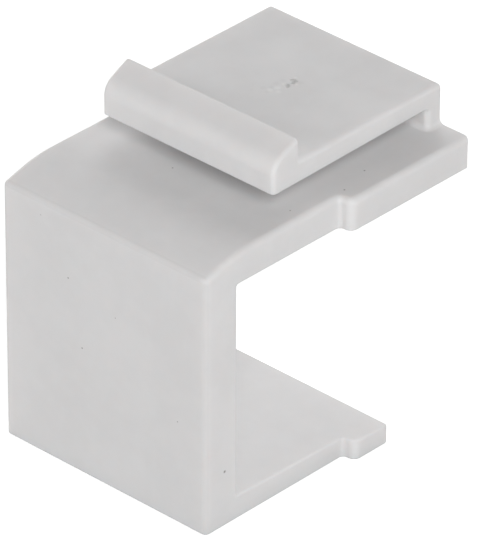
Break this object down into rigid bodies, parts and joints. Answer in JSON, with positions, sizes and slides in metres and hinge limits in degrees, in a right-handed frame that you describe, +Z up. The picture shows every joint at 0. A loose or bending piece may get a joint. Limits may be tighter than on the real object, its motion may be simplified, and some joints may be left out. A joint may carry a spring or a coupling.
{
  "type": "keystone blank insert",
  "caption": "One-piece C-shaped plastic blank that snaps into an unused keystone port of a faceplate: flat face, two shouldered arms and a latch plate with a wedge.",
  "frame": {"origin": "under the middle of the moulding, on the plane that the lower arm stands on", "axes": "+Z up, the face looks along -Y, the arms run towards +Y, symmetric across X"},
  "size_m": [0.0162, 0.0192, 0.02],
  "materials": {
    "moulding": "fine satin moulded surface, plain white"
  },
  "bodies": {
    "root": {"blank_insert": "moulding"}
  },
  "joints": []
}
